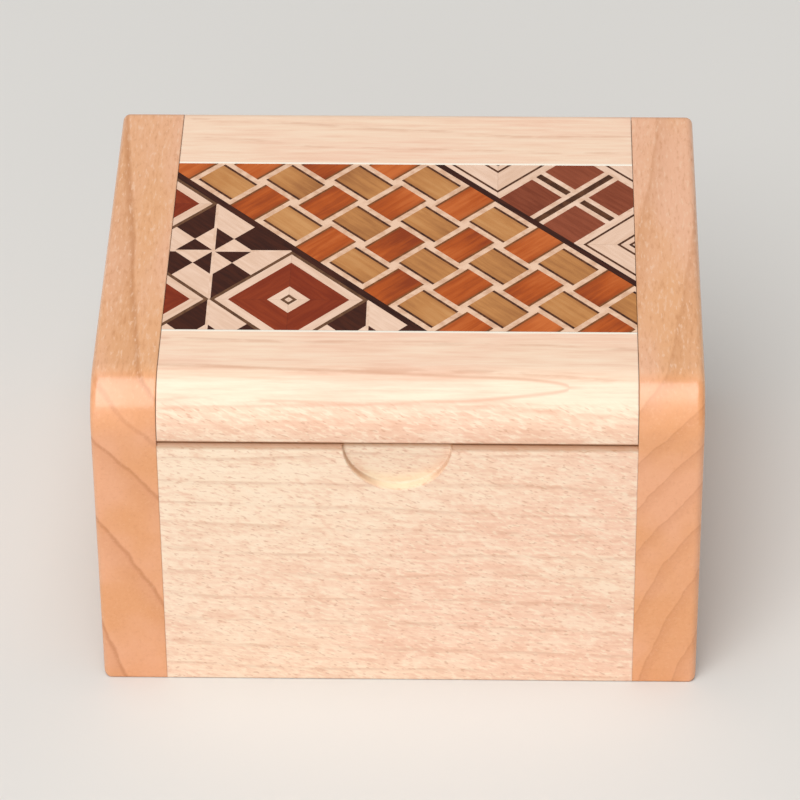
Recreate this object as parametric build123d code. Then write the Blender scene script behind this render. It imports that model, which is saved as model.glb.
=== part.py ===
from build123d import *
import math
import os

# A small puzzle box: two thick cherry end cheeks, maple panels between them, and a maple lid with a band
# of marquetry let into its top. The lid turns on two pins at its back edge. Two loose pins in the front
# of the cheeks lock it when they slide inwards. Millimetres, +X right, +Y to the back, +Z up, and the
# origin is in the middle of the underside.

# Outside of the box
BOX_WIDTH = 95.0
BOX_DEPTH = 80.0
BOX_HEIGHT = 56.5
FRONT_ROUND = 8.0
BACK_ROUND = 2.0
CHEEK_THICKNESS = 10.2
CHEEK_EASE = 1.2

# Carcass panels, tongued into the cheeks
PANEL_THICKNESS = 8.0
PANEL_CHAMFER = 0.45
TONGUE_THICKNESS = 4.0
TONGUE_LENGTH = 2.5
TONGUE_SHOULDER = 5.0
BOTTOM_THICKNESS = 4.0
BOTTOM_RAISE = 3.0
BOTTOM_LET_IN = 2.5
GLUE_CLEARANCE = 0.1

# Lid
LID_THICKNESS = 9.25
SEAM_GAP = 0.27
BACK_SEAM_GAP = 0.55
LID_SIDE_GAP = 0.08
LID_ARRIS = 0.6

# Half-round thumb scoop in the top of the front panel: its flat floor is deeper at the bottom
SCOOP_RADIUS = 8.5
SCOOP_TOP_DEPTH = 0.6
SCOOP_TILT = 8.0  # degrees
SCOOP_FILLET = 0.4

# Hinge pins, at this distance from the lid's underside and from its back
HINGE_INSET = 3.6
HINGE_PIN_RADIUS = 1.25
HINGE_PIN_LENGTH = 14.0
HINGE_PIN_IN_CHEEK = 7.0
HINGE_PIN_END_SPACE = 0.5
HINGE_CLEARANCE = 0.05

# Loose lock pins, drawn back into the cheeks as the box is shown
LOCK_PIN_RADIUS = 2.0
LOCK_PIN_LENGTH = 7.0
LOCK_PIN_EASE = 0.4
LOCK_PIN_SET_BACK = 0.2
LOCK_PIN_END_SPACE = 0.2
LOCK_PIN_FROM_FRONT = 9.5
LOCK_PIN_ABOVE_SEAM = 4.4
LOCK_TRAVEL = 3.2
LOCK_CLEARANCE = 0.08

# Marquetry sheet, let into the lid from cheek to cheek
SHEET_THICKNESS = 1.0
SHEET_FROM_FRONT = 17.3
SHEET_DEPTH = 46.7

# The pattern's lines run corner to corner of upright diamonds. They are placed by two diagonal measures,
# both read along X on the sheet's middle line from the middle of the sheet: "across" grows to the back
# right, "along" to the front right. The sizes below are those of a pattern this wide and deep, which is
# stretched to the sheet, so its diamonds are a little longer front to back than they are wide.
PATTERN_WIDTH = 74.44
PATTERN_DEPTH = 44.06

# Woven band: square cells of five layers, turned a quarter from each cell to the next
WEAVE_CELL = 11.1
WEAVE_ROWS = 4
BAND_START = -17.61
WEAVE_OFFSET = -12.55
RED_HALF = 3.65
RED_LINE = 0.55
TAN_HALF = 3.58
TAN_LINE = 0.62
FRONT_DIVIDER = 1.73
BACK_DIVIDER = 1.6

# Fields on both sides of the band: diamonds of one size in two kinds, like a chessboard
FIELD_CELL = 25.2
FRONT_FIELD_OFFSET = -3.36
BACK_FIELD_OFFSET = 14.58

# Nested squares of the front field, each ring given by the half-width of its outer edge
FRAME_HALF = 11.75
RING_HALF = 9.6
CENTRE_HALF = 3.4
EYE_HALF = 1.35
DOT_HALF = 0.65

# Pinwheel of the front field
CROSS_LINE = 0.44

# Checked diamond of the back field
CHECK_OUTER = 11.9
CHECK_INNER = 2.15
CHECK_BAR_HALF = 0.82

# Pale nested diamond of the back field: outer edges of its three dark lines
NEST_LINES = (11.4, 6.0, 4.1)
NEST_LINE = 0.6

SMALLEST_TILE = 0.05  # square millimetres, smaller offcuts are left out

# Places that follow from the sizes above
inner_half = BOX_WIDTH / 2 - CHEEK_THICKNESS
lid_half = inner_half - LID_SIDE_GAP
front_y = -BOX_DEPTH / 2
back_y = BOX_DEPTH / 2
lid_bottom = BOX_HEIGHT - LID_THICKNESS
panel_top = lid_bottom - SEAM_GAP
back_panel_top = lid_bottom - BACK_SEAM_GAP
hinge_y = back_y - HINGE_INSET
hinge_z = lid_bottom + HINGE_INSET
lock_y = front_y + LOCK_PIN_FROM_FRONT
lock_z = lid_bottom + LOCK_PIN_ABOVE_SEAM
sheet_front = front_y + SHEET_FROM_FRONT
sheet_back = sheet_front + SHEET_DEPTH
sheet_middle = (sheet_front + sheet_back) / 2
sheet_bottom = BOX_HEIGHT - SHEET_THICKNESS
stretch_x = 2 * lid_half / PATTERN_WIDTH
stretch_y = SHEET_DEPTH / PATTERN_DEPTH
band_end = BAND_START + WEAVE_ROWS * WEAVE_CELL
front_field_end = BAND_START - FRONT_DIVIDER
back_field_start = band_end + BACK_DIVIDER


def block(x0, x1, y0, y1, z0, z1):
    """A box between two corners."""
    return Pos((x0 + x1) / 2, (y0 + y1) / 2, (z0 + z1) / 2) * Box(x1 - x0, y1 - y0, z1 - z0)


def rod(x0, x1, y, z, radius):
    """A round bar along X, from x0 to x1."""
    return Pos((x0 + x1) / 2, y, z) * Rot(0, 90, 0) * Cylinder(radius, abs(x1 - x0))


def side_board(x0, x1, z0, z1, rounds):
    """A board from the front to the back of the box, with its side outline rounded at the named corners."""
    outline = Rectangle(BOX_DEPTH, z1 - z0)
    corners = {
        "front_low": outline.vertices().group_by(Axis.Y)[0].sort_by(Axis.X)[0],
        "back_low": outline.vertices().group_by(Axis.Y)[0].sort_by(Axis.X)[-1],
        "front_top": outline.vertices().group_by(Axis.Y)[-1].sort_by(Axis.X)[0],
        "back_top": outline.vertices().group_by(Axis.Y)[-1].sort_by(Axis.X)[-1],
    }
    for name, radius in rounds.items():
        outline = fillet(outline.vertices().sort_by_distance(corners[name].center())[0], radius)
    upright = Plane(origin=(x0, 0, (z0 + z1) / 2), x_dir=(0, 1, 0), z_dir=(1, 0, 0))
    return extrude(upright * outline, amount=x1 - x0)


def mirrored(solid, side):
    """The right-hand piece as it is, or its mirror image for the left."""
    return solid if side == "right" else mirror(solid, about=Plane.YZ)


def cheek():
    """Right-hand cheek, with the grooves for the panels and the blind bores for the pins."""
    outer_x = inner_half + CHEEK_THICKNESS
    body = side_board(inner_half, outer_x, 0, BOX_HEIGHT, {"front_top": FRONT_ROUND, "back_top": BACK_ROUND})
    body = fillet(body.faces().sort_by(Axis.X)[-1].edges(), CHEEK_EASE)
    groove_half = TONGUE_THICKNESS / 2 + GLUE_CLEARANCE
    for middle in (front_y + PANEL_THICKNESS / 2, back_y - PANEL_THICKNESS / 2):
        body -= block(
            inner_half, inner_half + TONGUE_LENGTH + GLUE_CLEARANCE,
            middle - groove_half, middle + groove_half,
            TONGUE_SHOULDER - GLUE_CLEARANCE, panel_top - TONGUE_SHOULDER + GLUE_CLEARANCE,
        )
    groove_y = back_y - PANEL_THICKNESS + BOTTOM_LET_IN + GLUE_CLEARANCE
    body -= block(
        inner_half, inner_half + BOTTOM_LET_IN + GLUE_CLEARANCE, -groove_y, groove_y,
        BOTTOM_RAISE - GLUE_CLEARANCE, BOTTOM_RAISE + BOTTOM_THICKNESS + GLUE_CLEARANCE,
    )
    body -= rod(inner_half, inner_half + HINGE_PIN_IN_CHEEK, hinge_y, hinge_z, HINGE_PIN_RADIUS)
    lock_bore_end = inner_half + LOCK_PIN_SET_BACK + LOCK_PIN_LENGTH + LOCK_PIN_END_SPACE
    body -= rod(inner_half, lock_bore_end, lock_y, lock_z, LOCK_PIN_RADIUS + LOCK_CLEARANCE)
    return body


def carcass_panel(outside_y, inside_y, top):
    """Front or back panel: it fills the space between the cheeks, with a tongue at each end."""
    y0, y1 = sorted((outside_y, inside_y))
    middle = (y0 + y1) / 2
    reach = inner_half + TONGUE_LENGTH
    panel = block(-inner_half, inner_half, y0, y1, 0, top)
    panel += block(
        -reach, reach, middle - TONGUE_THICKNESS / 2, middle + TONGUE_THICKNESS / 2,
        TONGUE_SHOULDER, panel_top - TONGUE_SHOULDER,
    )
    depth = BOTTOM_LET_IN + GLUE_CLEARANCE
    groove_y0, groove_y1 = (y1 - depth, y1) if outside_y < inside_y else (y0, y0 + depth)
    return panel - block(
        -reach, reach, groove_y0, groove_y1,
        BOTTOM_RAISE - GLUE_CLEARANCE, BOTTOM_RAISE + BOTTOM_THICKNESS + GLUE_CLEARANCE,
    )


def front_panel():
    """Front panel with its eased top edge and the thumb scoop, sunk with a round tool tipped upwards."""
    panel = carcass_panel(front_y, front_y + PANEL_THICKNESS, panel_top)
    top_front = panel.edges().filter_by(Axis.X).group_by(Axis.Z)[-1].sort_by(Axis.Y)[0]
    panel = chamfer(top_front, PANEL_CHAMFER)
    tool = Pos(0, 0, SCOOP_RADIUS / 2) * Cylinder(SCOOP_RADIUS, SCOOP_RADIUS)
    tool = fillet(tool.edges().filter_by(GeomType.CIRCLE).sort_by(Axis.Z)[0], SCOOP_FILLET)
    floor_middle = Pos(0, front_y + SCOOP_TOP_DEPTH, panel_top)
    return panel - floor_middle * Rot(90 + SCOOP_TILT, 0, 0) * tool


def back_panel():
    """Plain back panel."""
    return carcass_panel(back_y, back_y - PANEL_THICKNESS, back_panel_top)


def bottom_panel():
    """Bottom panel, let into the grooves all round."""
    half_x = inner_half + BOTTOM_LET_IN
    half_y = back_y - PANEL_THICKNESS + BOTTOM_LET_IN
    return block(-half_x, half_x, -half_y, half_y, BOTTOM_RAISE, BOTTOM_RAISE + BOTTOM_THICKNESS)


def lid_board():
    """Lid with a round front edge, a lower back edge rounded about the hinge, and the sheet's trench."""
    rounds = {
        "front_low": LID_ARRIS,
        "front_top": FRONT_ROUND,
        "back_low": HINGE_INSET,
        "back_top": BACK_ROUND,
    }
    lid = side_board(-lid_half, lid_half, lid_bottom, BOX_HEIGHT, rounds)
    lid -= block(-lid_half, lid_half, sheet_front, sheet_back, sheet_bottom, BOX_HEIGHT)
    in_lid = HINGE_PIN_LENGTH - HINGE_PIN_IN_CHEEK - LID_SIDE_GAP + HINGE_PIN_END_SPACE
    lock_depth = LOCK_TRAVEL - LOCK_PIN_SET_BACK - LID_SIDE_GAP + LOCK_PIN_END_SPACE
    for side in (-1, 1):
        end = side * lid_half
        lid -= rod(end, end - side * in_lid, hinge_y, hinge_z, HINGE_PIN_RADIUS + HINGE_CLEARANCE)
        lid -= rod(end, end - side * lock_depth, lock_y, lock_z, LOCK_PIN_RADIUS + LOCK_CLEARANCE)
    return lid


def hinge_pin():
    """Right-hand hinge pin, fast in the cheek and running in the lid."""
    outer = inner_half + HINGE_PIN_IN_CHEEK
    return rod(outer - HINGE_PIN_LENGTH, outer, hinge_y, hinge_z, HINGE_PIN_RADIUS)


def lock_pin():
    """Right-hand lock pin, lying in its bore just behind the inner face of the cheek."""
    start = inner_half + LOCK_PIN_SET_BACK
    pin = rod(start, start + LOCK_PIN_LENGTH, lock_y, lock_z - LOCK_CLEARANCE / 2, LOCK_PIN_RADIUS)
    return fillet(pin.edges().filter_by(GeomType.CIRCLE), LOCK_PIN_EASE)


def place(across, along):
    """The point of the pattern where two diagonal lines cross."""
    return ((across + along) / 2, (across - along) / 2)


def diamond(across0, across1, along0, along1):
    """The outline between two lines of each diagonal."""
    return [place(across0, along0), place(across1, along0), place(across1, along1), place(across0, along1)]


def span(side, near, far):
    """The stretch from near to far on one side of zero, low end first."""
    return sorted((side * near, side * far))


def cut(points, line):
    """The part of a convex outline where a*x + b*y + c is not negative, for the line (a, b, c)."""
    a, b, c = line
    kept = []
    for p, q in zip(points, points[1:] + points[:1]):
        at_p = round(a * p[0] + b * p[1] + c, 9)
        at_q = round(a * q[0] + b * q[1] + c, 9)
        if at_p >= 0:
            kept.append(p)
        if at_p * at_q < 0:
            share = at_p / (at_p - at_q)
            kept.append((p[0] + share * (q[0] - p[0]), p[1] + share * (q[1] - p[1])))
    return kept


def area(points):
    """Area of an outline."""
    return abs(sum(p[0] * q[1] - q[0] * p[1] for p, q in zip(points, points[1:] + points[:1]))) / 2


sheet_edges = [(1, 0, lid_half), (-1, 0, lid_half), (0, 1, -sheet_front), (0, -1, sheet_back)]
tiles = {}


def tile(node, points, lines=()):
    """Adds one tile to a node: trimmed by the lines, stretched to the sheet and trimmed by its edges."""
    for line in lines:
        points = cut(points, line)
    points = [(stretch_x * x, sheet_middle + stretch_y * y) for x, y in points]
    for line in sheet_edges:
        points = cut(points, line)
    if len(points) > 2 and area(points) > SMALLEST_TILE:
        tiles.setdefault(node, []).append(points)


def mitred_ring(node, across, along, outer, inner):
    """Four strips with mitred ends round a diamond."""
    for quarter in range(4):
        c = round(math.cos(math.pi / 2 * quarter))
        s = round(math.sin(math.pi / 2 * quarter))
        strip = [(outer, outer), (-outer, outer), (-inner, inner), (inner, inner)]
        tile(node, [place(across + c * u - s * v, along + s * u + c * v) for u, v in strip])


def weave_cell(across, along, is_red):
    """One cell of the band: a coloured block between two dark lines and two pale strips."""
    half = WEAVE_CELL / 2
    core, line = (RED_HALF, RED_LINE) if is_red else (TAN_HALF, TAN_LINE)
    layers = [("weave_red_blocks" if is_red else "weave_tan_blocks", -core, core)]
    for side in (-1, 1):
        layers.append(("weave_dark_lines", *span(side, core, core + line)))
        layers.append(("weave_pale_strips", *span(side, core + line, half)))
    for node, low, high in layers:
        if is_red:
            tile(node, diamond(across - half, across + half, along + low, along + high))
        else:
            tile(node, diamond(across + low, across + high, along - half, along + half))


def nested_square(across, along):
    """Front field: a dark outline, a cream frame, a red ring and a cream centre with a dark eye."""
    mitred_ring("square_outlines", across, along, FIELD_CELL / 2, FRAME_HALF)
    mitred_ring("square_cream_frames", across, along, FRAME_HALF, RING_HALF)
    mitred_ring("square_red_rings", across, along, RING_HALF, CENTRE_HALF)
    mitred_ring("square_cream_centres", across, along, CENTRE_HALF, EYE_HALF)
    mitred_ring("square_dark_eyes", across, along, EYE_HALF, DOT_HALF)
    dot = diamond(across - DOT_HALF, across + DOT_HALF, along - DOT_HALF, along + DOT_HALF)
    tile("square_cream_centres", dot)


def pinwheel(across, along):
    """Front field: a pale cross, and in each quarter four dark and cream pieces about one point."""
    x, y = place(across, along)
    reach = FIELD_CELL / 2
    line = CROSS_LINE / 2
    rim = [(u, v, reach - u * x - v * y) for u in (-1, 1) for v in (-1, 1)]
    upright = [(x - line, y - reach), (x + line, y - reach), (x + line, y + reach), (x - line, y + reach)]
    tile("pinwheel_cross_lines", upright, rim)
    for u in (-1, 1):
        x0, x1 = x + u * line, x + u * reach
        level = [(x0, y - line), (x1, y - line), (x1, y + line), (x0, y + line)]
        tile("pinwheel_cross_lines", level, rim)
        for v in (-1, 1):
            clear = [(u, 0, -u * x - line), (0, v, -v * y - line)]
            side_tip, end_tip = (x1, y), (x, y + v * reach)
            side_half, end_half = (x + u * reach / 2, y), (x, y + v * reach / 2)
            outer_mid = (x + u * reach / 2, y + v * reach / 2)
            inner_mid = (x + u * reach / 4, y + v * reach / 4)
            first, second = "pinwheel_dark", "pinwheel_cream"
            if u != v:
                first, second = second, first
            tile(first, [(x, y), end_half, inner_mid], clear)
            tile(second, [(x, y), side_half, inner_mid], clear)
            tile(second, [end_half, end_tip, outer_mid, inner_mid], clear)
            tile(first, [side_half, side_tip, outer_mid, inner_mid], clear)


def checked_diamond(across, along):
    """Back field: four brown squares parted by dark bars in pale strips, framed on three sides."""
    half = FIELD_CELL / 2
    near, far = across - half, across + CHECK_OUTER
    left, right = along - CHECK_OUTER, along + CHECK_OUTER
    bar, strip = CHECK_BAR_HALF, CHECK_INNER
    tile("check_dark_bars", diamond(near, far, along - bar, along + bar))
    tile("check_pale_strips", diamond(near, far, along - half, left))
    tile("check_pale_strips", diamond(near, far, right, along + half))
    tile("check_pale_strips", diamond(far, across + half, along - half, along + half))
    for side in (-1, 1):
        tile("check_pale_strips", diamond(near, far, *sorted((along + side * bar, along + side * strip))))
        a0, a1 = sorted((along + side * strip, left if side < 0 else right))
        tile("check_brown_squares", diamond(near, across - strip, a0, a1))
        tile("check_pale_strips", diamond(across - strip, across - bar, a0, a1))
        tile("check_dark_bars", diamond(across - bar, across + bar, a0, a1))
        tile("check_pale_strips", diamond(across + bar, across + strip, a0, a1))
        tile("check_brown_squares", diamond(across + strip, far, a0, a1))


def nested_diamond(across, along):
    """Back field: pale rings parted by three thin dark lines."""
    outer = FIELD_CELL / 2
    for line in NEST_LINES:
        mitred_ring("nest_pale_rings", across, along, outer, line)
        mitred_ring("nest_dark_lines", across, along, line, line - NEST_LINE)
        outer = line - NEST_LINE
    tile("nest_pale_rings", diamond(across - outer, across + outer, along - outer, along + outer))


def lay_band():
    """The woven band and the dark dividers on both sides of it."""
    reach = lid_half + SHEET_DEPTH
    tile("divider_front", diamond(front_field_end, BAND_START, -reach, reach))
    tile("divider_back", diamond(band_end, back_field_start, -reach, reach))
    columns = math.ceil(reach / WEAVE_CELL) + 1
    for row in range(WEAVE_ROWS):
        for column in range(-columns, columns + 1):
            across = BAND_START + (row + 0.5) * WEAVE_CELL
            weave_cell(across, WEAVE_OFFSET + column * WEAVE_CELL, (row + column) % 2 == 0)


def lay_field(start, step, offset, even_kind, odd_kind):
    """A chessboard of diamonds, from the divider at start to the corner of the sheet."""
    reach = math.ceil((lid_half + SHEET_DEPTH) / FIELD_CELL) + 1
    for row in range(reach):
        for column in range(-reach, reach + 1):
            kind = even_kind if (row + column) % 2 == 0 else odd_kind
            kind(start + step * (row + 0.5) * FIELD_CELL, offset + column * FIELD_CELL)


def solid_tile(points):
    """One tile at the sheet's full thickness."""
    return Pos(0, 0, sheet_bottom) * extrude(make_face(Polyline(*points, close=True)), amount=SHEET_THICKNESS)


def write(node, solids):
    """Writes one node's file."""
    export_step(solids[0] if len(solids) == 1 else Compound(children=solids), f"parts/{node}.step")


os.makedirs("parts", exist_ok=True)
lay_band()
lay_field(front_field_end, -1, FRONT_FIELD_OFFSET, nested_square, pinwheel)
lay_field(back_field_start, 1, BACK_FIELD_OFFSET, checked_diamond, nested_diamond)
for node, outlines in tiles.items():
    write(node, [solid_tile(points) for points in outlines])

for make in (front_panel, back_panel, bottom_panel, lid_board):
    write(make.__name__, [make()])
for side in ("left", "right"):
    write(f"{side}_cheek", [mirrored(cheek(), side)])
    write(f"hinge_pin_{side}", [mirrored(hinge_pin(), side)])
    write(f"lock_pin_{side}", [mirrored(lock_pin(), side)])
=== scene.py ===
import math

import bpy
from mathutils import Matrix, Vector

# A small puzzle box of cherry and maple with a marquetry lid. Metres, +X right, +Y back, +Z up. Materials
# work in millimetres on Object coordinates, so every streak and pore has its real size.

bl_info = {
    "name": "Puzzle Box",
    "version": (1, 0, 0),
    "blender": (4, 5, 0),
    "location": "View3D > Sidebar > Puzzle Box",
    "description": "Dresses a hinged puzzle box with its woods, marquetry and studio",
    "category": "Object",
}

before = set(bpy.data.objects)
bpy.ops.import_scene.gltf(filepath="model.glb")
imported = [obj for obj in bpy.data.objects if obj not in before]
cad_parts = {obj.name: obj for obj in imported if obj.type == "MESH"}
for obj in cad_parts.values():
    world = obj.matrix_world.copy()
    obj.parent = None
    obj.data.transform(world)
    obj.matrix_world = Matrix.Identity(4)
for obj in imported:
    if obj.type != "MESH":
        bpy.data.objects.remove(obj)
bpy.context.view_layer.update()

COORD = "ShaderNodeTexCoord"
MATH = "ShaderNodeMath"
VECTOR = "ShaderNodeVectorMath"
SPLIT = "ShaderNodeSeparateXYZ"
JOIN = "ShaderNodeCombineXYZ"
NOISE = "ShaderNodeTexNoise"
CHANCE = "ShaderNodeTexWhiteNoise"
RANGE = "ShaderNodeMapRange"
RAMP = "ShaderNodeValToRGB"
MIX = "ShaderNodeMix"
BUMP = "ShaderNodeBump"
EASE = "ShaderNodeBevel"
TURN = "ShaderNodeVectorRotate"
SOFT = {"interpolation_type": "SMOOTHSTEP"}
COLOUR = {"out": 2, "data_type": "RGBA"}

# The growth rings of the cheeks, in millimetres: how far outwards and up they are centred, their spacing in
# the left and the right cheek, how far all of them move out, and how far more per millimetre to the back
RING_CENTRE = (104.0, -12.6)
RING_SPACING = (10.7, 5.2)
RING_SHIFT = 2.5
RING_SKEW = 0.076
FALSE_RING = 91.4

# Marks on the maple, in millimetres: the heights between which the arrises at the seam get painted shade,
# where the lid's edge shades them, the radius of the scoop and the height of its centre, and the tip of the
# growth ring on the lid's round, as its x and how far it is up the slope of the round
PANEL_SEAM_SHADE = (45.9, 46.75)
LID_SEAM_SHADE = (47.75, 47.4)
SCOOP = (8.5, 46.98)
TONGUE_TIP = (26.5, 13.6)
RAY_SLANT = math.radians(24)

# Marquetry, in millimetres as the part's source gives it
SHEET_MIDDLE = 0.65
SHEET_HALF = 23.35
STRETCH = 1.06
WEAVE_CELL = 11.1
BAND_START = -17.61
WEAVE_OFFSET = -12.55
FIELD_CELL = 25.2
FRONT_FIELD_START = -19.34
FRONT_FIELD_OFFSET = -3.36
BACK_FIELD_START = 28.39
BACK_FIELD_OFFSET = 14.58
# A divider is cut from two lengths that meet at the middle of the sheet: start, offset and size of a length
DIVIDER_LENGTHS = (-90.0, 90.0, 180.0)

# The photograph's view: pitch down, turn and roll in degrees, where it looks, and how far from there
CAMERA_TURNS = (36.65, -1.62, -0.55)
CAMERA_AIM = (-0.0005616, -0.002, 0.027598)
CAMERA_DISTANCE = 0.765783
CAMERA_LENS = 210.62

# How far the floor reaches each way, and the middle of the box that the lamps are turned to
FLOOR_REACH = 6.0
BOX_MIDDLE = (0.0, 0.0, 0.03)


def linear(code):
    """An sRGB hex colour as Blender's linear red, green, blue and alpha."""
    shares = [int(code[i:i + 2], 16) / 255 for i in (1, 3, 5)]
    return tuple(s / 12.92 if s <= 0.04045 else ((s + 0.055) / 1.055) ** 2.4 for s in shares) + (1.0,)


MITRE_SHADE = linear("#a09590")


def add(tree, kind, *inputs, out=0, ramp=None, **settings):
    """Adds a node and returns one of its outputs. Inputs are numbers or outputs to link, in socket order
    or in a dictionary by socket."""
    node = tree.nodes.new(kind)
    for name, value in settings.items():
        setattr(node, name, value)
    named = dict(enumerate(i for i in inputs if not isinstance(i, dict)))
    for extra in (i for i in inputs if isinstance(i, dict)):
        named.update(extra)
    for key, value in named.items():
        if isinstance(value, bpy.types.NodeSocket):
            tree.links.new(value, node.inputs[key])
        else:
            node.inputs[key].default_value = value
    if ramp:
        while len(node.color_ramp.elements) < len(ramp):
            node.color_ramp.elements.new(1.0)
        for element, (position, shade) in zip(node.color_ramp.elements, ramp):
            element.position = position
            element.color = shade
    return node.outputs[out]


def finish_of(name, roughness, metallic=0.0, specular=0.5):
    """A new material, its tree and its principled shader, with the gloss that is the same all over."""
    material = bpy.data.materials.new(name)
    material.use_nodes = True
    shader = material.node_tree.nodes["Principled BSDF"]
    shader.inputs["Roughness"].default_value = roughness
    shader.inputs["Metallic"].default_value = metallic
    shader.inputs["Specular IOR Level"].default_value = specular
    return material, material.node_tree, shader


def settle(tree, shader, shade, height, depth, arris=0.0):
    """Gives a shader its colour and a relief of this depth, on arrises sanded round to a radius in metres."""
    sockets = {"Strength": depth, "Distance": 0.0001, "Height": height}
    if arris:
        sockets["Normal"] = add(tree, EASE, {"Radius": arris}, samples=6)
    tree.links.new(shade, shader.inputs["Base Color"])
    tree.links.new(add(tree, BUMP, sockets), shader.inputs["Normal"])


def place_of(tree):
    """Object coordinates in millimetres, whole and as x, y and z."""
    place = add(tree, VECTOR, add(tree, COORD, out="Object"), (1000, 1000, 1000), operation="MULTIPLY")
    return place, [add(tree, SPLIT, place, out=i) for i in range(3)]


def pattern(tree, place, changes, detail, roughness=0.5):
    """Streaks or clouds over a place in millimetres: they change about this often in a millimetre along x, y
    and z, so a small number draws them out."""
    spot = add(tree, VECTOR, place, changes, operation="MULTIPLY")
    return add(tree, NOISE, {"Vector": spot, "Scale": 1.0, "Detail": detail, "Roughness": roughness})


def growth_line(tree, ring, start, full, fade, end):
    """How much a growth line shows at a place in its ring, from 0 inside to 1 outside: it comes in softly and
    ends sharply."""
    return add(tree, MATH, add(tree, RANGE, ring, start, full, **SOFT),
               add(tree, RANGE, ring, fade, end, 1.0, 0.0), operation="MULTIPLY")


def diagonals(tree, place):
    """The two diagonal measures of the pattern at a place: x + y and x - y, with y from the sheet's middle
    and shortened by the stretch."""
    across = add(tree, VECTOR, place, (1, 1 / STRETCH, 0), operation="DOT_PRODUCT", out="Value")
    along = add(tree, VECTOR, place, (1, -1 / STRETCH, 0), operation="DOT_PRODUCT", out="Value")
    across = add(tree, MATH, across, SHEET_MIDDLE / STRETCH, operation="SUBTRACT")
    along = add(tree, MATH, along, SHEET_MIDDLE / STRETCH, operation="ADD")
    return across, along


def cell_of(tree, across, along, start, offset, cell):
    """For each diagonal, the whole number of a cell and the distance from its middle in cells."""
    row = add(tree, MATH, add(tree, MATH, across, start, operation="SUBTRACT"), cell, operation="DIVIDE")
    column = add(tree, MATH, add(tree, MATH, along, offset - cell / 2, operation="SUBTRACT"), cell,
                 operation="DIVIDE")
    numbers = [add(tree, MATH, v, operation="FLOOR") for v in (row, column)]
    shares = [add(tree, MATH, add(tree, MATH, v, operation="FRACT"), 0.5, operation="SUBTRACT")
              for v in (row, column)]
    return numbers, shares


def lot(tree, *numbers):
    """Three chance values from 0 to 1 for one piece of wood, from its whole numbers."""
    chance = add(tree, CHANCE, {"Vector": add(tree, JOIN, *numbers)}, out="Color")
    return [add(tree, SPLIT, chance, out=i) for i in range(3)]


def streaks(tree, long_way, cross_way, seed, length, width, detail):
    """Noise drawn out along the grain: its streaks are about so long and wide, in millimetres, and the seed
    picks the stick that the piece was cut from."""
    grain = add(tree, JOIN, add(tree, MATH, long_way, 1 / length, operation="MULTIPLY"),
                add(tree, MATH, cross_way, 1 / width, operation="MULTIPLY"),
                add(tree, MATH, seed, 40.0, operation="MULTIPLY"))
    return add(tree, NOISE, {"Vector": grain, "Scale": 1.0, "Detail": detail, "Roughness": 0.6,
                             "Distortion": 0.3})


def ring_radius(tree, place, y, z, side, outward):
    """How far a place in a cheek is from the centre of its growth rings. The rings aren't quite round: they
    bend and waver, run askew towards the back, and are spaced a little wider near the top of the box."""
    bend = pattern(tree, place, (0.05, 0.012, 0.05), 1.0)
    waver = pattern(tree, place, (0.32, 0.03, 0.32), 3.0)
    level = add(tree, MATH, add(tree, MATH, RING_CENTRE[0], outward, operation="SUBTRACT"), 2.0,
                operation="POWER")
    rise = add(tree, MATH, add(tree, MATH, z, RING_CENTRE[1], operation="SUBTRACT"), 2.0, operation="POWER")
    radius = add(tree, MATH, add(tree, MATH, level, rise, operation="ADD"), operation="SQRT")
    for value, share in ((bend, 3.0), (waver, 1.1), (side, -0.7)):
        radius = add(tree, MATH, value, share, radius, operation="MULTIPLY_ADD")
    radius = add(tree, MATH, y, RING_SKEW, add(tree, MATH, radius, RING_SHIFT, operation="ADD"),
                 operation="MULTIPLY_ADD")
    wider = add(tree, RANGE, radius, 88.0, 97.0, 0.0, 1.3, **SOFT)
    return add(tree, MATH, radius, wider, operation="SUBTRACT")


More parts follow.
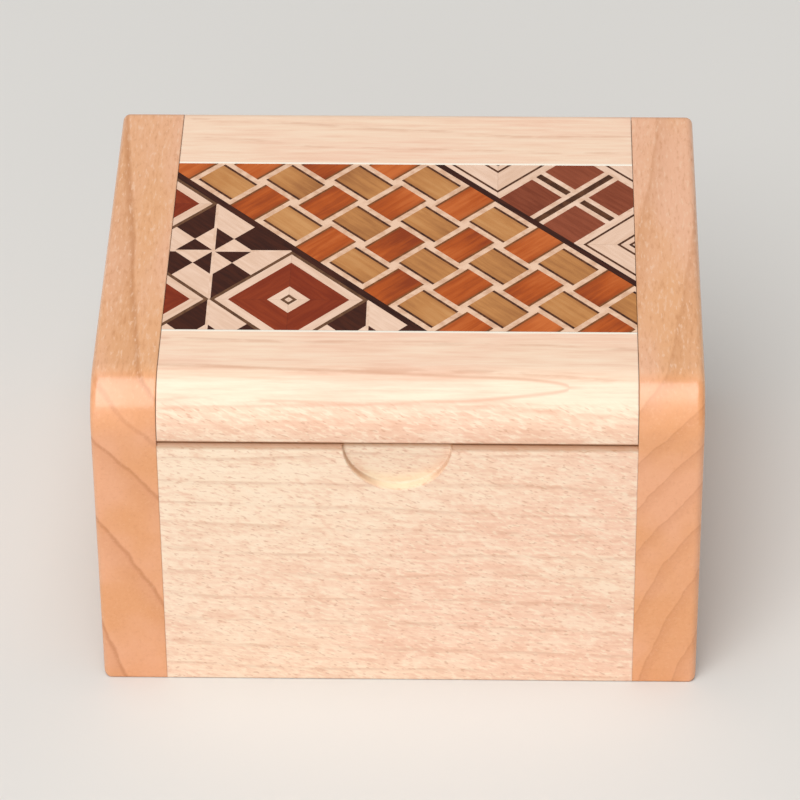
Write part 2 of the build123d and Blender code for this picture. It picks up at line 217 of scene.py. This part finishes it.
def make_cherry(colours):
    """Cherry of the cheeks: solid boards, sanded fine and oiled to a satin gloss. The grain runs front to
    back, so growth rings are arcs on their front ends, centred low outside the box, with one faint false ring
    on the left and softer rings on the right. They run a little askew along the top, where short brown pores
    and light flecks lie along the grain. The end grain drinks more oil and is more orange."""
    material, tree, shader = finish_of("oiled_cherry", 0.25, specular=0.8)
    place, (x, y, z) = place_of(tree)
    side = add(tree, MATH, x, operation="SIGN")
    outward = add(tree, MATH, x, operation="ABSOLUTE")
    radius = ring_radius(tree, place, y, z, side, outward)
    spacing = add(tree, RANGE, side, -1.0, 1.0, *RING_SPACING)
    ring = add(tree, MATH, add(tree, MATH, radius, spacing, operation="DIVIDE"), operation="FRACT")
    late = growth_line(tree, ring, 0.5, 0.96, 0.96, 1.0)
    away = add(tree, MATH, add(tree, MATH, radius, FALSE_RING, operation="SUBTRACT"), operation="ABSOLUTE")
    faint = add(tree, MATH, add(tree, RANGE, away, 0.1, 0.5, 0.6, 0.0, **SOFT),
                add(tree, RANGE, side, 1.0, -1.0), operation="MULTIPLY")
    line = add(tree, MATH, growth_line(tree, ring, 0.9, 0.96, 0.97, 1.0), faint, operation="MAXIMUM")
    broad = pattern(tree, place, (0.09, 0.02, 0.09), 2.0)
    fibre = pattern(tree, place, (1.8, 0.36, 1.8), 4.0, 0.62)
    pore = pattern(tree, place, (2.2, 0.5, 2.2), 2.0)
    facing = add(tree, SPLIT, add(tree, COORD, out="Normal"), out=1)
    end = add(tree, RANGE, add(tree, MATH, facing, operation="ABSOLUTE"), 0.1, 0.45, **SOFT)
    flat = add(tree, RANGE, end, 0.0, 1.0, 1.0, 0.4)
    shade = add(tree, MIX, {0: add(tree, RANGE, broad, 0.35, 0.65, **SOFT), 6: colours.cherry_gold,
                            7: colours.cherry_pink}, **COLOUR)
    for growth, left, right in ((late, 0.18, 0.2), (line, 0.42, 0.14)):
        share = add(tree, MATH, growth, add(tree, RANGE, side, -1.0, 1.0, left, right), operation="MULTIPLY")
        shade = add(tree, MIX, {0: share, 6: shade, 7: colours.cherry_dark}, **COLOUR)
    for value, low, high, share, colour in (
            (fibre, 0.52, 0.72, 0.4, colours.cherry_light), (fibre, 0.46, 0.3, 0.28, colours.cherry_dark),
            (pore, 0.58, 0.7, 0.2, colours.cherry_dark), (pore, 0.42, 0.3, 0.6, colours.cherry_light)):
        share = add(tree, MATH, add(tree, RANGE, value, low, high, 0.0, share, **SOFT), flat,
                    operation="MULTIPLY")
        shade = add(tree, MIX, {0: share, 6: shade, 7: colour}, **COLOUR)
    shade = add(tree, MIX, {0: end, 6: shade, 7: colours.cherry_end}, blend_type="MULTIPLY", **COLOUR)
    settle(tree, shader, shade, fibre, 0.1, arris=0.0004)
    return material


def ring_tongue(tree, place, x, z, waver, tip):
    """How much a growth ring shows where the lid's round cuts through it. Two soft lines run along the round,
    draw together like a tongue and meet at the tip, with a short faint tail beyond it. Their distance grows
    with a power of that from the tip."""
    upwards = (0.0, math.sqrt(0.5), math.sqrt(0.5))
    level = add(tree, VECTOR, place, upwards, operation="DOT_PRODUCT", out="Value")
    level = add(tree, MATH, add(tree, MATH, waver, 1.2, level, operation="MULTIPLY_ADD"), tip[1] + 0.6,
                operation="SUBTRACT")
    widening, power = 0.27, 0.45
    half = add(tree, MATH, add(tree, MATH, x, -widening, widening * tip[0], operation="MULTIPLY_ADD"), 0.0,
               operation="MAXIMUM")
    half = add(tree, MATH, half, power, operation="POWER")
    away = add(tree, MATH, add(tree, MATH, level, operation="ABSOLUTE"), half, operation="SUBTRACT")
    share = add(tree, RANGE, add(tree, MATH, away, operation="ABSOLUTE"), 0.0, 0.5, 1.0, 0.0, **SOFT)
    for limit in (
            add(tree, RANGE, x, -30.0, 15.0, 0.3, 0.5), add(tree, RANGE, x, tip[0] + 3.0, tip[0] - 0.5),
            add(tree, RANGE, z, 49.5, 50.5)):
        share = add(tree, MATH, share, limit, operation="MULTIPLY")
    return share


def tint_scoop(tree, shade, place, x, y, z, scoop, colours):
    """The colour of a panel with a thumb scoop of this radius and height, with painted light and shade: a
    little painted light at the top of the scoop, against the lid's shade, a painted highlight on its foot,
    whose wall faces up into the light, and painted shade in its corners, more in the left one, whose wall
    faces away from the light."""
    radius, height = scoop
    cut = add(tree, MATH, add(tree, RANGE, y, -39.9, -39.2, **SOFT), add(tree, RANGE, y, -36.0, -37.0),
              operation="MULTIPLY")
    reach = add(tree, VECTOR, place, (0.0, 0.0, height), operation="SUBTRACT")
    reach = add(tree, VECTOR, add(tree, VECTOR, reach, (1.0, 0.0, 1.0), operation="MULTIPLY"),
                operation="LENGTH", out="Value")
    cut = add(tree, MATH, cut, add(tree, RANGE, reach, radius + 0.1, radius + 0.3, 1.0, 0.0),
              operation="MULTIPLY")
    wall = (radius - 0.3, radius - 0.1)
    # Painted light at the scoop's top, a painted highlight on its foot, and painted shade in its right and
    # left corners
    for edge, at, share, colour in (
            ((1.0, 0.5), (z, 36.0, 40.0), 0.35, colours.maple_light),
            ((radius - 3.0, radius - 0.5), (z, 42.5, 39.5), 0.55, colours.maple_scoop_highlight),
            (wall, (x, 3.5, 7.0), 0.3, colours.maple_painted_shade), (wall, (x, -1.5, -6.5), 0.6, colours.maple_painted_shade)):
        share = add(tree, MATH, cut, share, operation="MULTIPLY")
        for limit in (add(tree, RANGE, reach, *edge, **SOFT), add(tree, RANGE, *at, **SOFT)):
            share = add(tree, MATH, share, limit, operation="MULTIPLY")
        shade = add(tree, MIX, {0: share, 6: shade, 7: colour}, **COLOUR)
    return shade


def make_maple(name, colours, rings, spacing, seam=None, scoop=None, trench=0.0, paler=0.0, deeper=0.0,
               tongue=None):
    """Maple of the lid and panels: solid boards with the grain from side to side, sanded fine and oiled to a
    satin gloss. Soft pinkish growth lines run along the grain at this spacing, measured along the direction
    of the rings. The upright faces are cut on the quarter, so short rays slant across them as cream and
    pinkish flecks, with fine brown dashes. The front arris between two seam heights gets painted shade, where
    the lid's edge shades it, and the top gets a painted highlight beside a trench that reaches this far from
    the sheet's middle. A board may be paler towards its top left or deeper on its front."""
    material, tree, shader = finish_of(name, 0.28, specular=0.42)
    place, (x, y, z) = place_of(tree)
    bend = pattern(tree, place, (0.012, 0.09, 0.09), 2.0)
    ring = add(tree, VECTOR, place, rings, operation="DOT_PRODUCT", out="Value")
    ring = add(tree, MATH, bend, 9.0, ring, operation="MULTIPLY_ADD")
    ring = add(tree, MATH, add(tree, MATH, ring, spacing, operation="DIVIDE"), operation="FRACT")
    patchy = pattern(tree, place, (0.16, 0.8, 0.8), 3.0, 0.6)
    late = add(tree, MATH, growth_line(tree, ring, 0.7, 0.88, 0.89, 0.95),
               add(tree, RANGE, patchy, 0.4, 0.6, 0.1, 1.0, **SOFT), operation="MULTIPLY")
    broad = pattern(tree, place, (0.03, 0.06, 0.06), 2.0)
    upright = add(tree, RANGE, add(tree, MATH, y, operation="ABSOLUTE"), 32.5, 37.5, 0.25, 1.0, **SOFT)
    quarter = add(tree, MATH, add(tree, RANGE, z, 54.4, 52.9, 0.08, 1.0, **SOFT), upright,
                  operation="MULTIPLY")
    turned = add(tree, TURN, {"Vector": place, "Axis": (0.0, -1.0, 1.0), "Angle": RAY_SLANT},
                 rotation_type="AXIS_ANGLE")
    ray = pattern(tree, turned, (0.46, 1.8, 2.0), 2.0, 0.55)
    figure = pattern(tree, turned, (0.1, 0.4, 0.45), 2.0)
    fibre = pattern(tree, place, (0.1, 1.3, 1.6), 4.0, 0.6)
    dash = pattern(tree, turned, (0.55, 2.5, 2.8), 1.0)
    shade = add(tree, MIX, {0: add(tree, RANGE, broad, 0.35, 0.65, **SOFT), 6: colours.maple_cream,
                            7: colours.maple_pink}, **COLOUR)
    if paler:
        corner = add(tree, VECTOR, place, (-0.6, 0.0, 1.0), operation="DOT_PRODUCT", out="Value")
        shade = add(tree, MIX, {0: add(tree, RANGE, corner, 15.0, 68.0, 0.0, paler, **SOFT), 6: shade,
                                7: colours.maple_pale}, **COLOUR)
    if deeper:
        share = add(tree, MATH, add(tree, RANGE, z, 53.5, 49.5, 0.0, deeper, **SOFT), upright,
                    operation="MULTIPLY")
        shade = add(tree, MIX, {0: share, 6: shade, 7: colours.maple_fleck}, **COLOUR)
    shade = add(tree, MIX, {0: add(tree, RANGE, fibre, 0.45, 0.7, 0.0, 0.45, **SOFT), 6: shade,
                            7: colours.maple_light}, **COLOUR)
    shade = add(tree, MIX, {0: add(tree, RANGE, fibre, 0.5, 0.28, 0.0, 0.35, **SOFT), 6: shade,
                            7: colours.maple_fleck}, **COLOUR)
    for value, low, high, share, colour in (
            (figure, 0.52, 0.64, 0.35, colours.maple_light), (figure, 0.47, 0.36, 0.25, colours.maple_fleck),
            (ray, 0.53, 0.66, 0.6, colours.maple_light), (ray, 0.46, 0.34, 0.38, colours.maple_fleck),
            (dash, 0.61, 0.72, 0.5, colours.maple_line)):
        share = add(tree, MATH, add(tree, RANGE, value, low, high, 0.0, share, **SOFT), quarter,
                    operation="MULTIPLY")
        shade = add(tree, MIX, {0: share, 6: shade, 7: colour}, **COLOUR)
    shade = add(tree, MIX, {0: add(tree, MATH, late, 0.36, operation="MULTIPLY"), 6: shade,
                            7: colours.maple_line}, **COLOUR)
    if tongue:
        shade = add(tree, MIX, {0: ring_tongue(tree, place, x, z, broad, tongue), 6: shade,
                                7: colours.maple_line}, **COLOUR)
    if scoop:
        shade = tint_scoop(tree, shade, place, x, y, z, scoop, colours)
    # Painted shade on the front arris at the seam, where the lid's edge shades it
    if seam:
        share = add(tree, MATH, add(tree, RANGE, z, *seam, 0.0, 0.85), add(tree, RANGE, y, -38.9, -39.5),
                    operation="MULTIPLY")
        shade = add(tree, MIX, {0: share, 6: shade, 7: colours.maple_painted_shade}, **COLOUR)
    # Painted highlight on the lid's top beside the marquetry's trench
    if trench:
        away = add(tree, MATH, add(tree, MATH, y, SHEET_MIDDLE, operation="SUBTRACT"), operation="ABSOLUTE")
        share = add(tree, MATH, add(tree, RANGE, away, trench + 0.3, trench + 0.65, 1.0, 0.0, **SOFT),
                    add(tree, RANGE, z, 54.0, 54.5), operation="MULTIPLY")
        shade = add(tree, MIX, {0: share, 6: shade, 7: colours.maple_trench_highlight}, **COLOUR)
    settle(tree, shader, shade, fibre, 0.08, arris=0.0003)
    return material


def make_weave_block(name, light, middle, dark, is_red):
    """Blocks of the woven band: slices of their own sticks, planed flush and waxed. The grain runs along
    each block, every block has its own tone and a light end, and its long edges are darker where the glue
    beside the dark line has soaked in."""
    material, tree, shader = finish_of(name, 0.32, specular=0.3)
    place, _ = place_of(tree)
    across, along = diagonals(tree, place)
    numbers, shares = cell_of(tree, across, along, BAND_START, WEAVE_OFFSET, WEAVE_CELL)
    tone, tilt, seed = lot(tree, *numbers, 3.0)
    long_way, cross_way = (across, along) if is_red else (along, across)
    lengthwise, sideways = shares if is_red else reversed(shares)
    streak = streaks(tree, long_way, cross_way, seed, 14.0, 1.3, 3.0)
    fine = streaks(tree, long_way, cross_way, tilt, 4.0, 0.35, 2.0)
    cloud = pattern(tree, place, (0.35, 0.35, 0.35), 2.0)
    slope = add(tree, MATH, lengthwise, add(tree, MATH, tilt, 0.5, operation="SUBTRACT"),
                operation="MULTIPLY")
    value = add(tree, MATH, add(tree, RANGE, streak, 0.3, 0.7, **SOFT), 0.3, operation="MULTIPLY")
    value = add(tree, MATH, cloud, 0.3, value, operation="MULTIPLY_ADD")
    value = add(tree, MATH, tone, 0.55, value, operation="MULTIPLY_ADD")
    value = add(tree, MATH, fine, 0.12, value, operation="MULTIPLY_ADD")
    value = add(tree, MATH, slope, 0.8, value, operation="MULTIPLY_ADD")
    shade = add(tree, RAMP, value, ramp=[(0.2, dark), (0.6, middle), (1.05, light)])
    edge = add(tree, MATH, sideways, operation="ABSOLUTE")
    shade = add(tree, MIX, {0: add(tree, RANGE, edge, 0.19, 0.34, 0.0, 0.4, **SOFT), 6: shade, 7: dark},
                **COLOUR)
    settle(tree, shader, shade, fine, 0.06)
    return material


def make_strip(name, light, dark, nodes=False, turns=False):
    """Strips and lines of veneer, planed flush and waxed: a fine even grain, a little mottled. Where four
    cells of the weave meet, the strips' end grain is lighter. The lines beside every other cell are lighter
    and those between are darker, both beyond the two colours."""
    material, tree, shader = finish_of(name, 0.34, specular=0.3)
    place, _ = place_of(tree)
    mottle = pattern(tree, place, (0.6, 0.6, 0.6), 4.0, 0.6)
    value = add(tree, RANGE, mottle, 0.32, 0.68, **SOFT)
    if nodes or turns:
        numbers, shares = cell_of(tree, *diagonals(tree, place), BAND_START, WEAVE_OFFSET, WEAVE_CELL)
    if turns:
        odd = add(tree, MATH, add(tree, MATH, *numbers, operation="ADD"), 2.0, operation="FLOORED_MODULO")
        value = add(tree, MATH, odd, -1.3, add(tree, MATH, value, 1.1, operation="ADD"),
                    operation="MULTIPLY_ADD")
    if nodes:
        corner = add(tree, MATH, *(add(tree, MATH, s, operation="ABSOLUTE") for s in shares), operation="ADD")
        value = add(tree, MATH, add(tree, RANGE, corner, 0.76, 0.92, **SOFT), 0.6, value,
                    operation="MULTIPLY_ADD")
    shade = add(tree, MIX, {0: value, 6: dark, 7: light}, clamp_factor=not turns, **COLOUR)
    settle(tree, shader, shade, mottle, 0.06)
    return material


def make_ring_wood(name, light, dark, start, offset, joint):
    """Wood of the nested squares and diamonds: four mitred strips about each middle, planed flush and
    waxed. The grain follows each strip, each side has its own tone, and the mitres show as fine joints."""
    material, tree, shader = finish_of(name, 0.34, specular=0.3)
    place, _ = place_of(tree)
    across, along = diagonals(tree, place)
    numbers, (u, v) = cell_of(tree, across, along, start, offset, FIELD_CELL)
    size_u, size_v = (add(tree, MATH, s, operation="ABSOLUTE") for s in (u, v))
    upright = add(tree, MATH, size_u, size_v, operation="GREATER_THAN")
    side_u, side_v = (add(tree, MATH, s, operation="SIGN") for s in (u, v))
    which = add(tree, MIX, {0: upright, 2: side_v, 3: add(tree, MATH, side_u, 2.0, operation="MULTIPLY")})
    tone, _, seed = lot(tree, *numbers, which)
    long_way = add(tree, MIX, {0: upright, 2: across, 3: along})
    cross_way = add(tree, MIX, {0: upright, 2: along, 3: across})
    streak = streaks(tree, long_way, cross_way, seed, 9.0, 1.1, 3.0)
    value = add(tree, MATH, tone, 0.5, add(tree, RANGE, streak, 0.3, 0.7, 0.0, 0.55, **SOFT),
                operation="MULTIPLY_ADD")
    shade = add(tree, MIX, {0: value, 6: dark, 7: light}, **COLOUR)
    mitre = add(tree, MATH, add(tree, MATH, size_u, size_v, operation="SUBTRACT"), operation="ABSOLUTE")
    shade = add(tree, MIX, {0: add(tree, RANGE, mitre, 0.001, 0.006, joint, 0.0, **SOFT), 6: shade,
                            7: MITRE_SHADE}, blend_type="MULTIPLY", **COLOUR)
    settle(tree, shader, shade, streak, 0.05)
    return material


def make_piece_wood(name, light, dark, cells, contrast):
    """Wood of the larger single pieces, such as the pinwheel's and the brown squares, planed flush and
    waxed. The streaks run along the band and the tone changes from piece to piece, whose cells are given by
    their start, offset and size."""
    material, tree, shader = finish_of(name, 0.34, specular=0.25)
    place, _ = place_of(tree)
    across, along = diagonals(tree, place)
    numbers, _ = cell_of(tree, across, along, *cells)
    tone, _, seed = lot(tree, *numbers, 7.0)
    streak = streaks(tree, along, across, seed, 8.0, 0.9, 4.0)
    value = add(tree, MATH, tone, 0.5, add(tree, RANGE, streak, 0.3, 0.72, 0.0, contrast, **SOFT),
                operation="MULTIPLY_ADD")
    shade = add(tree, MIX, {0: value, 6: dark, 7: light}, **COLOUR)
    settle(tree, shader, shade, streak, 0.07)
    return material


def make_metal(name, light, dark, roughness, changes):
    """Drawn or ground metal of the pins: fine scratches run round or along a pin and spread its highlight,
    and a faint tarnish lies in patches."""
    material, tree, shader = finish_of(name, roughness, metallic=1.0)
    place, _ = place_of(tree)
    scratch = pattern(tree, place, changes, 3.0)
    patch = pattern(tree, place, (0.4, 0.4, 0.4), 2.0)
    shade = add(tree, MIX, {0: add(tree, RANGE, patch, 0.35, 0.7, **SOFT), 6: light, 7: dark}, **COLOUR)
    rough = add(tree, RANGE, scratch, 0.3, 0.7, roughness - 0.06, roughness + 0.08, **SOFT)
    tree.links.new(rough, shader.inputs["Roughness"])
    settle(tree, shader, shade, scratch, 0.1)
    return material


def make_floor():
    """Plain pale studio floor: matt, with a barely visible unevenness."""
    material, tree, shader = finish_of("studio_floor", 0.85, specular=0.2)
    place, _ = place_of(tree)
    cloud = pattern(tree, place, (0.004, 0.004, 0.004), 2.0)
    shade = add(tree, MIX, {0: cloud, 6: linear("#dddbd7"), 7: linear("#e3e1dd")}, **COLOUR)
    settle(tree, shader, shade, cloud, 0.0)
    return material


def shade_of(label, description, code):
    """A colour setting, whose default is given as an sRGB hex colour."""
    return bpy.props.FloatVectorProperty(
        name=label, description=description, default=linear(code), subtype="COLOR", size=4, min=0.0, max=1.0)


class BoxColours(bpy.types.PropertyGroup):
    """Colours of the woods and metals."""
    cherry_gold: shade_of("Cherry, golden", "Golden parts of the cheeks", "#edb181")
    cherry_pink: shade_of("Cherry, pink", "Pinkish parts of the cheeks", "#f3bb98")
    cherry_light: shade_of("Cherry, light", "Light flecks of the cheeks", "#f8ccaa")
    cherry_dark: shade_of("Cherry, dark", "Growth lines and pores of the cheeks", "#bc7843")
    cherry_end: shade_of("Cherry, end grain", "What darkens the end grain of the cheeks", "#fbead9")
    maple_cream: shade_of("Maple, cream", "Cream parts of the lid and panels", "#fbdabe")
    maple_pink: shade_of("Maple, pink", "Pinkish parts of the lid and panels", "#f9cfb4")
    maple_light: shade_of("Maple, light", "Light flecks of the lid and panels", "#ffead0")
    maple_fleck: shade_of("Maple, fleck", "Pinkish flecks of the lid and panels", "#eab698")
    maple_line: shade_of("Maple, line", "Growth lines and dashes of the lid and panels", "#d39b7a")
    maple_pale: shade_of("Maple, pale", "Paler part of a panel, at its top left", "#fee8cd")
    # Painted shade: the arrises at the seam under the lid and the scoop's corners, where they lie in shade
    maple_painted_shade: shade_of("Maple, seam", "Browned arris under the lid", "#b07442")
    # Painted highlight: the foot of the thumb scoop, whose wall faces up into the light
    maple_scoop_highlight: shade_of("Maple, scoop", "Paler foot of the thumb scoop", "#ffeccb")
    # Painted highlight: the line on the lid's top beside the marquetry
    maple_trench_highlight: shade_of("Maple, bright", "Bright line beside the marquetry", "#fff6e6")
    red_light: shade_of("Red block, light", "Light streaks of the red blocks", "#cf6e33")
    red: shade_of("Red block", "Most of the red blocks", "#b8551b")
    red_dark: shade_of("Red block, dark", "Dark streaks of the red blocks", "#8f3a12")
    tan_light: shade_of("Tan block, light", "Light streaks of the tan blocks", "#d39a61")
    tan: shade_of("Tan block", "Most of the tan blocks", "#c3854c")
    tan_dark: shade_of("Tan block, dark", "Dark streaks of the tan blocks", "#a2683a")
    ring_light: shade_of("Red ring, light", "Light streaks of the red rings", "#943a18")
    ring_dark: shade_of("Red ring, dark", "Dark streaks of the red rings", "#76240a")
    square_light: shade_of("Brown square, light", "Light streaks of the brown squares", "#964d33")
    square_dark: shade_of("Brown square, dark", "Dark streaks of the brown squares", "#78361f")
    cream_light: shade_of("Cream, light", "Light parts of the pale pieces", "#f5d3bb")
    cream_dark: shade_of("Cream, dark", "Darker parts of the pale pieces", "#e1ba9e")
    line_light: shade_of("Dark bar, light", "Lighter parts of the back field's dark bars", "#643c23")
    line_dark: shade_of("Dark bar, dark", "Darkest parts of the back field's dark bars", "#432310")
    outline_light: shade_of("Outline, light", "Lighter parts of the front field's outlines", "#785238")
    outline_dark: shade_of("Outline, dark", "Darkest parts of the front field's outlines", "#5c3c26")
    weave_light: shade_of("Weave strip, light", "Light parts of the weave's pale strips", "#f1cbae")
    weave_dark: shade_of("Weave strip, dark", "Darker parts of the weave's pale strips", "#d9ac8c")
    brown_light: shade_of("Brown line, light", "Lighter parts of the weave's dark lines", "#70401f")
    brown_dark: shade_of("Brown line, dark", "Darkest parts of the weave's dark lines", "#462415")
    black_light: shade_of("Blackwood, light", "Reddish streaks of the darkest pieces", "#4b2213")
    black_dark: shade_of("Blackwood, dark", "Ground of the darkest pieces", "#280e08")
    brass_light: shade_of("Brass, light", "Clean brass of the hinge pins", "#d9b25f")
    brass_dark: shade_of("Brass, dark", "Tarnish of the hinge pins", "#b08a45")
    steel_light: shade_of("Steel, light", "Ground steel of the lock pins", "#c4c5c7")
    steel_dark: shade_of("Steel, dark", "Duller patches of the lock pins", "#9c9da0")


class StageLight(bpy.types.PropertyGroup):
    """Lamps of the studio."""
    key: bpy.props.FloatProperty(
        name="Key light", description="Power of the soft box over the front of the box",
        default=37.5, min=0.0, unit="POWER")
    fill: bpy.props.FloatProperty(
        name="Fill light", description="Power of the soft light from the front",
        default=12.5, min=0.0, unit="POWER")
    sky: bpy.props.FloatProperty(
        name="Surrounding light", description="Strength of the even light all round",
        default=0.28, min=0.0, soft_max=2.0)


def dress(material, *nodes):
    """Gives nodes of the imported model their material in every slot."""
    for node in nodes:
        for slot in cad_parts[node].material_slots:
            slot.material = material


class PUZZLEBOX_OT_case(bpy.types.Operator):
    """Dresses the cheeks and the panels between them"""
    bl_idname = "puzzlebox.case"
    bl_label = "Case"

    def execute(self, context):
        colours = context.scene.puzzlebox_colours
        dress(make_cherry(colours), "left_cheek", "right_cheek")
        dress(make_maple("oiled_maple_panel", colours, (0.02, 0.2, 1.0), 4.6, seam=PANEL_SEAM_SHADE, scoop=SCOOP,
                         paler=0.8), "front_panel", "back_panel")
        dress(make_maple("oiled_maple_bottom", colours, (0.01, 1.0, 0.2), 6.0), "bottom_panel")
        return {"FINISHED"}


class PUZZLEBOX_OT_lid(bpy.types.Operator):
    """Dresses the lid board"""
    bl_idname = "puzzlebox.lid"
    bl_label = "Lid"

    def execute(self, context):
        colours = context.scene.puzzlebox_colours
        dress(make_maple("oiled_maple_lid", colours, (0.045, 1.0, 0.5), 6.2, seam=LID_SEAM_SHADE, trench=SHEET_HALF,
                         deeper=0.35, tongue=TONGUE_TIP), "lid_board")
        return {"FINISHED"}


class PUZZLEBOX_OT_band(bpy.types.Operator):
    """Dresses the woven band and its dividers"""
    bl_idname = "puzzlebox.band"
    bl_label = "Woven band"

    def execute(self, context):
        c = context.scene.puzzlebox_colours
        dress(make_weave_block("planed_padauk", c.red_light, c.red, c.red_dark, True), "weave_red_blocks")
        dress(make_weave_block("planed_mulberry", c.tan_light, c.tan, c.tan_dark, False), "weave_tan_blocks")
        dress(make_strip("walnut_line", c.brown_light, c.brown_dark, turns=True), "weave_dark_lines")
        dress(make_strip("dogwood_strip", c.weave_light, c.weave_dark, nodes=True), "weave_pale_strips")
        dress(make_piece_wood("blackwood_divider", c.black_light, c.black_dark, DIVIDER_LENGTHS, 0.8),
              "divider_front", "divider_back")
        return {"FINISHED"}


class PUZZLEBOX_OT_fields(bpy.types.Operator):
    """Dresses the squares, pinwheels and diamonds on both sides of the band"""
    bl_idname = "puzzlebox.fields"
    bl_label = "Marquetry fields"

    def execute(self, context):
        c = context.scene.puzzlebox_colours
        cream = c.cream_light, c.cream_dark
        front_field = FRONT_FIELD_START, FRONT_FIELD_OFFSET
        back_field = BACK_FIELD_START, BACK_FIELD_OFFSET
        dress(make_ring_wood("dogwood_frame", *cream, *front_field, 0.3),
              "square_cream_frames", "square_cream_centres")
        dress(make_ring_wood("redwood_ring", c.ring_light, c.ring_dark, *front_field, 0.4),
              "square_red_rings")
        dress(make_ring_wood("dogwood_diamond", *cream, *back_field, 0.3), "nest_pale_rings")
        dress(make_strip("walnut_outline", c.outline_light, c.outline_dark), "square_outlines",
              "square_dark_eyes")
        dress(make_strip("walnut_bar", c.line_light, c.line_dark), "check_dark_bars", "nest_dark_lines")
        dress(make_strip("dogwood_fillet", *cream), "check_pale_strips", "pinwheel_cross_lines")
        wheel = *front_field, FIELD_CELL
        square = BACK_FIELD_START, BACK_FIELD_OFFSET - FIELD_CELL / 4, FIELD_CELL / 2
        dress(make_piece_wood("blackwood_piece", c.black_light, c.black_dark, wheel, 0.6), "pinwheel_dark")
        dress(make_piece_wood("dogwood_piece", *cream, wheel, 0.6), "pinwheel_cream")
        dress(make_piece_wood("redwood_square", c.square_light, c.square_dark, square, 0.6),
              "check_brown_squares")
        return {"FINISHED"}


class PUZZLEBOX_OT_pins(bpy.types.Operator):
    """Dresses the hinge pins and the loose lock pins"""
    bl_idname = "puzzlebox.pins"
    bl_label = "Pins"

    def execute(self, context):
        c = context.scene.puzzlebox_colours
        dress(make_metal("drawn_brass", c.brass_light, c.brass_dark, 0.28, (0.3, 6.0, 6.0)),
              "hinge_pin_left", "hinge_pin_right")
        dress(make_metal("ground_steel", c.steel_light, c.steel_dark, 0.3, (6.0, 0.6, 0.6)),
              "lock_pin_left", "lock_pin_right")
        return {"FINISHED"}


def lamp(name, power, width, depth, place):
    """A soft rectangular light at a place, turned towards the box."""
    data = bpy.data.lights.new(name, "AREA")
    data.shape = "RECTANGLE"
    data.size = width
    data.size_y = depth
    data.energy = power
    made = bpy.data.objects.new(name, data)
    bpy.context.scene.collection.objects.link(made)
    made.location = place
    made.rotation_mode = "QUATERNION"
    made.rotation_quaternion = (Vector(BOX_MIDDLE) - Vector(place)).to_track_quat("-Z", "Y")


def camera():
    """The photograph's view: its place, direction and length were fitted to the edges of the box."""
    pitch, yaw, roll = (math.radians(a) for a in CAMERA_TURNS)
    ahead = Vector((math.sin(yaw) * math.cos(pitch), math.cos(yaw) * math.cos(pitch), -math.sin(pitch)))
    level = Vector((math.cos(yaw), -math.sin(yaw), 0.0))
    upward = level.cross(ahead)
    right = level * math.cos(roll) + upward * math.sin(roll)
    up = upward * math.cos(roll) - level * math.sin(roll)
    made = bpy.data.objects.new("photo_camera", bpy.data.cameras.new("photo_camera"))
    made.data.sensor_width = 36.0
    made.data.lens = CAMERA_LENS
    made.data.clip_start = 0.01
    made.data.clip_end = 20.0
    bpy.context.scene.collection.objects.link(made)
    axes = Matrix((right, up, -ahead)).transposed().to_4x4()
    made.matrix_world = Matrix.Translation(Vector(CAMERA_AIM) - ahead * CAMERA_DISTANCE) @ axes
    bpy.context.scene.camera = made


class PUZZLEBOX_OT_stage(bpy.types.Operator):
    """Makes the floor, the lamps, the surrounding light and the camera"""
    bl_idname = "puzzlebox.stage"
    bl_label = "Stage"

    def execute(self, context):
        light = context.scene.puzzlebox_light
        mesh = bpy.data.meshes.new("floor")
        corners = [(x * FLOOR_REACH, y * FLOOR_REACH, 0.0) for x, y in ((-1, -1), (1, -1), (1, 1), (-1, 1))]
        mesh.from_pydata(corners, [], [(0, 1, 2, 3)])
        floor = bpy.data.objects.new("floor", mesh)
        context.scene.collection.objects.link(floor)
        floor.data.materials.append(make_floor())
        floor.location.z = -0.0001
        lamp("key_soft_box", light.key, 1.3, 2.55, (-0.3, -0.765, 1.88))
        lamp("front_soft_box", light.fill, 3.2, 1.6, (-0.5, -1.7, 0.6))
        world = bpy.data.worlds.new("studio")
        world.use_nodes = True
        sky = world.node_tree.nodes["Background"]
        sky.inputs["Color"].default_value = (1.0, 0.995, 0.985, 1.0)
        sky.inputs["Strength"].default_value = light.sky
        context.scene.world = world
        context.scene.view_settings.view_transform = "Standard"
        camera()
        return {"FINISHED"}


class PUZZLEBOX_PT_panel(bpy.types.Panel):
    """Buttons of the puzzle box in the sidebar"""
    bl_label = "Puzzle Box"
    bl_idname = "PUZZLEBOX_PT_panel"
    bl_space_type = "VIEW_3D"
    bl_region_type = "UI"
    bl_category = "Puzzle Box"

    def draw(self, context):
        for step in STEPS:
            self.layout.operator(step.bl_idname)
        for group in (context.scene.puzzlebox_colours, context.scene.puzzlebox_light):
            for name in group.__annotations__:
                self.layout.prop(group, name)


STEPS = (
    PUZZLEBOX_OT_case, PUZZLEBOX_OT_lid, PUZZLEBOX_OT_band, PUZZLEBOX_OT_fields, PUZZLEBOX_OT_pins,
    PUZZLEBOX_OT_stage,
)
CLASSES = (BoxColours, StageLight, *STEPS, PUZZLEBOX_PT_panel)


def register():
    for kind in CLASSES:
        bpy.utils.register_class(kind)
    bpy.types.Scene.puzzlebox_colours = bpy.props.PointerProperty(type=BoxColours)
    bpy.types.Scene.puzzlebox_light = bpy.props.PointerProperty(type=StageLight)


def unregister():
    del bpy.types.Scene.puzzlebox_light
    del bpy.types.Scene.puzzlebox_colours
    for kind in reversed(CLASSES):
        bpy.utils.unregister_class(kind)


def main():
    """Dresses every piece and makes the stage, in order."""
    register()
    bpy.ops.puzzlebox.case()
    bpy.ops.puzzlebox.lid()
    bpy.ops.puzzlebox.band()
    bpy.ops.puzzlebox.fields()
    bpy.ops.puzzlebox.pins()
    bpy.ops.puzzlebox.stage()


if __name__ == "__main__":
    main()
